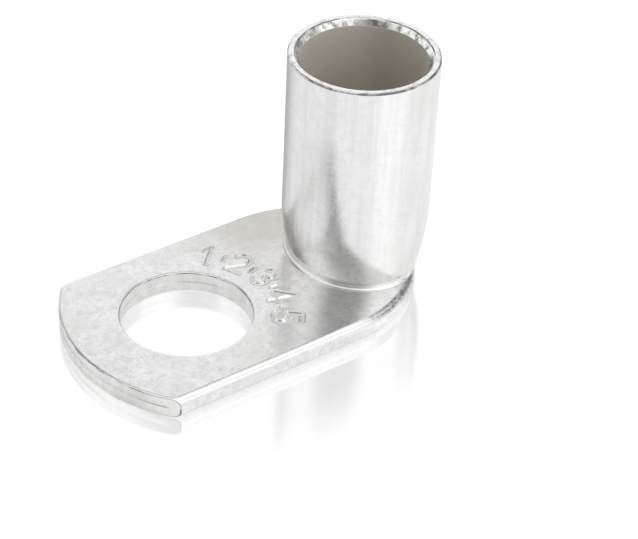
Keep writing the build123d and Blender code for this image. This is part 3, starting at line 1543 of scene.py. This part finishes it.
@dataclass(frozen=True)
class DullBore:
    """The dull, darkened inside of the barrel, with painted shade that makes it darker down one
    side.
    """

    name: str = "dull_bore"
    metallic: float = 0.5
    pale: Colour = (0.83, 0.8, 0.73)
    dark: Colour = (0.745, 0.715, 0.65)
    clouds: Grain = Grain(420.0, 4.0, 0.5)
    shade: Colour = (0.65, 0.615, 0.56)
    shade_azimuth: float = -30.0
    shade_edge: float = 1.6
    shade_softness: float = 1.6
    roughness_stops: Stops = ((0.3, 0.5), (0.7, 0.66))

    def material(self) -> bpy.types.Material:
        """Make the material.

        Returns:
            The material.
        """
        made, kit, shader, place = metal(self.name)
        shader.inputs["Metallic"].default_value = self.metallic
        cloud = kit.noise(place, self.clouds)
        x, y, _ = kit.parts(place)
        x = kit.math("SUBTRACT", x, LugSizes().axis_x * MM)
        # Painted shade: the colour darkens towards the side of the bore at shade_azimuth
        aside = kit.along(x, y, self.shade_azimuth)
        lit = kit.fade(aside, self.shade_edge * MM, self.shade_softness * MM)
        colour = kit.blend(cloud, self.pale, self.dark)
        colour = kit.blend(kit.math("SUBTRACT", 1.0, lit), colour, self.shade)
        kit.link(colour, shader.inputs["Base Color"])
        kit.link(kit.ramp(cloud, *self.roughness_stops), shader.inputs["Roughness"])
        return made


@dataclass(frozen=True)
class WorkedEdge:
    """Metal that a tool has cut or rubbed: bright, with darker streaks."""

    name: str
    light: Colour
    dark: Colour
    grain: Grain
    streaks: Point
    roughness_stops: Stops
    relief_strength: float = 0.25
    relief_rise: float = 0.04

    def material(self) -> bpy.types.Material:
        """Make the material.

        Returns:
            The material.
        """
        made, kit, shader, place = metal(self.name)
        cloud = kit.noise(place, self.grain)
        start, stop = self.streaks
        colour = kit.blend(kit.ramp(cloud, (start, 1.0), (stop, 0.0)), self.light, self.dark)
        kit.link(colour, shader.inputs["Base Color"])
        kit.link(kit.ramp(cloud, *self.roughness_stops), shader.inputs["Roughness"])
        kit.relief(shader, cloud, self.relief_strength, self.relief_rise * MM)
        return made


FINISHES = {
    Finish.TIN: TinPlate(),
    Finish.BORE: DullBore(),
    Finish.RIM: WorkedEdge(
        name="turned_rim",
        light=(0.9, 0.9, 0.9),
        dark=(0.66, 0.65, 0.63),
        grain=Grain(1500.0, 4.0, 0.6),
        streaks=(0.34, 0.5),
        roughness_stops=((0.3, 0.26), (0.7, 0.14)),
    ),
    Finish.LEAD: WorkedEdge(
        name="lead_in",
        light=(0.9, 0.9, 0.9),
        dark=(0.26, 0.25, 0.24),
        grain=Grain(1300.0, 4.0, 0.6, stretch=(1.0, 1.0, 0.35)),
        streaks=(0.38, 0.56),
        roughness_stops=((0.3, 0.3), (0.7, 0.12)),
    ),
    Finish.SHEAR: WorkedEdge(
        name="sheared_face",
        light=(0.9, 0.9, 0.895),
        dark=(0.8, 0.79, 0.775),
        grain=Grain(1100.0, 4.0, 0.6, stretch=(1.0, 1.0, 0.35)),
        streaks=(0.35, 0.62),
        roughness_stops=((0.3, 0.4), (0.7, 0.26)),
    ),
    Finish.ARRIS: WorkedEdge(
        name="rubbed_arris",
        light=(0.82, 0.81, 0.8),
        dark=(0.2, 0.195, 0.19),
        grain=Grain(420.0, 4.0, 0.6),
        streaks=(0.42, 0.6),
        roughness_stops=((0.3, 0.45), (0.7, 0.25)),
    ),
}


@dataclass(frozen=True)
class Pool:
    """A soft wedge of painted light, or of painted shade where its gain is below zero, on the
    table, that fans out from a point.
    """

    start: Point
    azimuth: float
    half_angle: float
    softness: float
    gain: float


@dataclass(frozen=True)
class WhiteTable:
    """A glossy white table that stays white round the lug and keeps its shadow and reflection."""

    name: str = "white_table"
    size: float = 4.0
    near_glow: float = 0.6
    far_glow: float = 1.0
    shine: float = 0.34
    shine_roughness: float = 0.1
    albedo: float = 0.08
    seen_glow: float = 0.475
    seen_albedo: float = 0.52
    plain_albedo: float = 0.9
    lug_centre: float = 7.15
    lug_half: Point = (18.9, 10.8)
    fade_distance: float = 8.0
    fade_softness: float = 5.0
    # Painted pools of light and shade in the glow that the metal sees in the table
    pools: tuple[Pool, ...] = (
        Pool(start=(17.7, -3.7), azimuth=-80.0, half_angle=24.0, softness=9.0, gain=0.14),
        Pool(start=(17.0, -1.9), azimuth=-170.8, half_angle=4.0, softness=4.0, gain=-0.13),
        Pool(start=(17.0, 1.5), azimuth=150.0, half_angle=34.0, softness=18.0, gain=-0.05),
        Pool(start=(17.0, 0.0), azimuth=76.0, half_angle=30.0, softness=22.0, gain=-0.45),
        Pool(start=(-120.0, -12.4), azimuth=0.0, half_angle=0.8, softness=0.4, gain=0.06),
    )

    def build(self) -> None:
        """Lay the table under the lug."""
        half = self.size / 2
        corners = [(-half, -half, 0), (half, -half, 0), (half, half, 0), (-half, half, 0)]
        mesh = bpy.data.meshes.new("table")
        mesh.from_pydata(corners, [], [(0, 1, 2, 3)])
        table = bpy.data.objects.new("table", mesh)
        bpy.context.scene.collection.objects.link(table)
        mesh.materials.append(self.material())

    def material(self) -> bpy.types.Material:
        """Make the material.

        Returns:
            The material.
        """
        made, kit = new_material(self.name)
        path = kit.node("LightPath").outputs
        place = kit.node("NewGeometry").outputs["Position"]
        near = self._closeness(kit, place)
        glow = kit.product(near, self.near_glow - self.far_glow)
        glow = kit.math("ADD", glow, self.far_glow)
        mirror = kit.node("BsdfAnisotropic", Roughness=self.shine_roughness)
        kit.link(kit.product(near, self.shine), mirror.inputs["Color"])
        direct = kit.join("AddShader", self._stack(kit, glow, self.albedo), mirror.outputs[0])
        mirrored = self._stack(kit, self._pooled(kit, place), self.seen_albedo)
        seen = kit.math("MAXIMUM", path["Is Glossy Ray"], path["Is Transmission Ray"])
        plain = self._matt(kit, self.plain_albedo)
        unseen = kit.join("MixShader", seen, plain, mirrored)
        surface = kit.join("MixShader", path["Is Camera Ray"], unseen, direct)
        kit.link(surface, kit.node("OutputMaterial").inputs["Surface"])
        return made

    def _closeness(self, kit: NodeKit, place: Socket) -> Socket:
        """How close the table's place is to the lug: 1 beside it, falling softly to 0.

        Args:
            kit: The material's node kit.
            place: The place on the table.

        Returns:
            The closeness.
        """
        x, y, _ = kit.parts(place)
        x = kit.math("SUBTRACT", x, self.lug_centre * MM)
        gaps = []
        for part, half in zip((x, y), self.lug_half):
            beyond = kit.math("SUBTRACT", kit.math("ABSOLUTE", part), half * MM)
            gaps.append(kit.math("MAXIMUM", beyond, 0.0))
        return kit.fade(kit.length(*gaps), self.fade_distance * MM, self.fade_softness * MM)

    def _pooled(self, kit: NodeKit, place: Socket) -> Socket:
        """Strength of the glow that metal sees in the table, with its painted pools of light and
        shade.

        Args:
            kit: The material's node kit.
            place: The place on the table.

        Returns:
            The strength.
        """
        x, y, _ = kit.parts(place)
        total = kit.node("Value").outputs[0]
        total.default_value = self.seen_glow
        for pool in self.pools:
            out_x = kit.math("SUBTRACT", x, pool.start[0] * MM)
            out_y = kit.math("SUBTRACT", y, pool.start[1] * MM)
            share = kit.wedge(out_x, out_y, pool.azimuth, pool.half_angle, pool.softness)
            total = kit.math("ADD", total, kit.product(share, pool.gain))
        return total

    def _matt(self, kit: NodeKit, albedo: float) -> Socket:
        """A matt white or grey."""
        return kit.node("BsdfDiffuse", Color=(albedo, albedo, albedo, 1)).outputs[0]

    def _stack(self, kit: NodeKit, glow: Socket, albedo: float) -> Socket:
        """Add up a glow and a matt part.

        Args:
            kit: The material's node kit.
            glow: Strength of the glow.
            albedo: Strength of the matt part.

        Returns:
            The sum.
        """
        light = kit.node("Emission")
        kit.link(glow, light.inputs["Strength"])
        return kit.join("AddShader", light.outputs[0], self._matt(kit, albedo))


def towards(azimuth: float, elevation: float) -> Vector:
    """A unit vector towards a direction.

    Args:
        azimuth: The direction's azimuth, in degrees.
        elevation: Its elevation, in degrees.

    Returns:
        The vector.
    """
    turn, rise = math.radians(azimuth), math.radians(elevation)
    level = math.cos(rise)
    return Vector((level * math.cos(turn), level * math.sin(turn), math.sin(rise)))


@dataclass(frozen=True)
class Spot:
    """A soft round patch of the surround, lighter or darker than the rest."""

    azimuth: float
    elevation: float
    radius: float
    softness: float
    gain: float

    def share(self, kit: NodeKit, direction: Socket) -> Socket:
        """How much of the spot shows.

        Args:
            kit: The surround's node kit.
            direction: The direction looked in.

        Returns:
            The spot's share.
        """
        dot = kit.node("VectorMath", operation="DOT_PRODUCT")
        dot.inputs[1].default_value = towards(self.azimuth, self.elevation)
        kit.link(direction, dot.inputs[0])
        away = kit.math("ARCCOSINE", dot.outputs["Value"])
        return kit.fade(away, math.radians(self.radius), math.radians(self.softness))


@dataclass(frozen=True)
class Band:
    """A level band of the surround over some of its azimuths, lighter or darker than the rest."""

    azimuth: float
    spread: float
    elevation: float
    half_height: float
    softness: float
    gain: float
    end_softness: float = 12.0

    def share(self, kit: NodeKit, direction: Socket) -> Socket:
        """How much of the band shows.

        Args:
            kit: The surround's node kit.
            direction: The direction looked in.

        Returns:
            The band's share.
        """
        x, y, z = kit.parts(direction)
        rise = kit.math("SUBTRACT", kit.math("ARCSINE", z), math.radians(self.elevation))
        away = kit.math("ABSOLUTE", rise)
        level = kit.fade(away, math.radians(self.half_height), math.radians(self.softness))
        return kit.product(level, kit.wedge(x, y, self.azimuth, self.spread, self.end_softness))


@dataclass(frozen=True)
class Surround:
    """The white surround, with softly lighter and darker parts for the metal to mirror."""

    level: float = 1.0
    patches: tuple[Spot | Band, ...] = (
        Spot(azimuth=-28.0, elevation=28.0, radius=12.0, softness=8.0, gain=-0.5),
        Spot(azimuth=15.0, elevation=20.0, radius=21.0, softness=9.0, gain=-0.7),
        Band(azimuth=60.0, spread=62.0, elevation=51.0, half_height=4.5, softness=2.5, gain=-0.75),
        Band(
            azimuth=-144.0,
            spread=34.0,
            elevation=29.0,
            half_height=30.0,
            softness=7.0,
            gain=-0.62,
            end_softness=13.0,
        ),
        Band(azimuth=100.0, spread=24.0, elevation=38.0, half_height=12.0, softness=7.0, gain=-0.5),
        Band(azimuth=-70.0, spread=30.0, elevation=28.0, half_height=7.0, softness=4.0, gain=0.5),
    )

    def build(self) -> None:
        """Make the world."""
        world = bpy.data.worlds.new("surround")
        bpy.context.scene.world = world
        world.use_nodes = True
        kit = NodeKit(world.node_tree)
        direction = kit.node("TexCoord").outputs["Generated"]
        total = kit.node("Value").outputs[0]
        total.default_value = self.level
        for patch in self.patches:
            change = kit.product(patch.share(kit, direction), patch.gain * self.level)
            total = kit.math("ADD", total, change)
        back = world.node_tree.nodes["Background"]
        kit.link(total, back.inputs["Strength"])
        back.inputs["Color"].default_value = (1, 1, 1, 1)


@dataclass(frozen=True)
class Lamp:
    """A soft square lamp aimed at the lug."""

    name: str
    azimuth: float
    elevation: float
    distance: float
    size: float
    power: float
    target: tuple[float, float, float] = (10.0, 0.0, 0.0)

    def build(self) -> None:
        """Make the lamp."""
        out = towards(self.azimuth, self.elevation)
        data = bpy.data.lights.new(self.name, "AREA")
        data.shape = "SQUARE"
        data.size = self.size
        data.energy = self.power
        lamp = bpy.data.objects.new(self.name, data)
        lamp.location = Vector(self.target) * MM + out * self.distance
        lamp.rotation_euler = out.to_track_quat("Z", "Y").to_euler()
        bpy.context.scene.collection.objects.link(lamp)


@dataclass(frozen=True)
class PhotoCamera:
    """The camera at the photograph's angle. Its lengths are in millimetres."""

    focus: tuple[float, float, float] = (10.0, 0.0, 8.0)
    azimuth: float = -127.642
    elevation: float = 36.735
    roll: float = 2.901
    distance: float = 203.605
    shift_right: float = 4.543
    shift_up: float = -3.645
    focal_pixels: float = 2081.756
    frame_width: int = 638
    sensor: float = 36.0
    nearest: float = 1.0

    def build(self) -> None:
        """Make the camera."""
        roll = math.radians(self.roll)
        back = towards(self.azimuth, self.elevation)
        right = (-back).cross(Vector((0, 0, 1))).normalized()
        up = right.cross(-back)
        turned = math.cos(roll) * right + math.sin(roll) * up
        raised = -math.sin(roll) * right + math.cos(roll) * up
        place = Vector(self.focus) + self.shift_right * turned + self.shift_up * raised
        place += self.distance * back
        data = bpy.data.cameras.new("camera")
        data.sensor_width = self.sensor
        data.lens = self.focal_pixels / self.frame_width * self.sensor
        data.clip_start = self.nearest * MM
        camera = bpy.data.objects.new("camera", data)
        turn = Matrix((turned, raised, back)).transposed().to_4x4()
        camera.matrix_world = Matrix.Translation(place * MM) @ turn
        bpy.context.scene.collection.objects.link(camera)
        bpy.context.scene.camera = camera


@dataclass(frozen=True)
class Studio:
    """A plain white table, soft light and the camera."""

    table: WhiteTable = WhiteTable()
    surround: Surround = Surround()
    lamp: Lamp = Lamp(
        "high_lamp", azimuth=-38.0, elevation=69.0, distance=0.5, size=0.17, power=0.2
    )
    camera: PhotoCamera = PhotoCamera()

    def build(self) -> None:
        """Set up the table, the light and the camera."""
        for item in (self.table, self.surround, self.lamp, self.camera):
            item.build()
        bpy.context.scene.view_settings.view_transform = "Standard"


def main() -> None:
    """Build the lug, dress it, set up the studio and hand the piece to the frame."""
    logging.basicConfig(level=logging.INFO, format="%(name)s: %(message)s")
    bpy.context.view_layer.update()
    piece = LugSkin().build()
    mesh = piece.data
    for finish in Finish:
        mesh.materials.append(FINISHES[finish].material())
    log.info("%s: %d points, %d faces", piece.name, len(mesh.vertices), len(mesh.polygons))
    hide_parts(NODE)
    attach(piece, BODY)
    Studio().build()


if __name__ == "__main__":
    main()
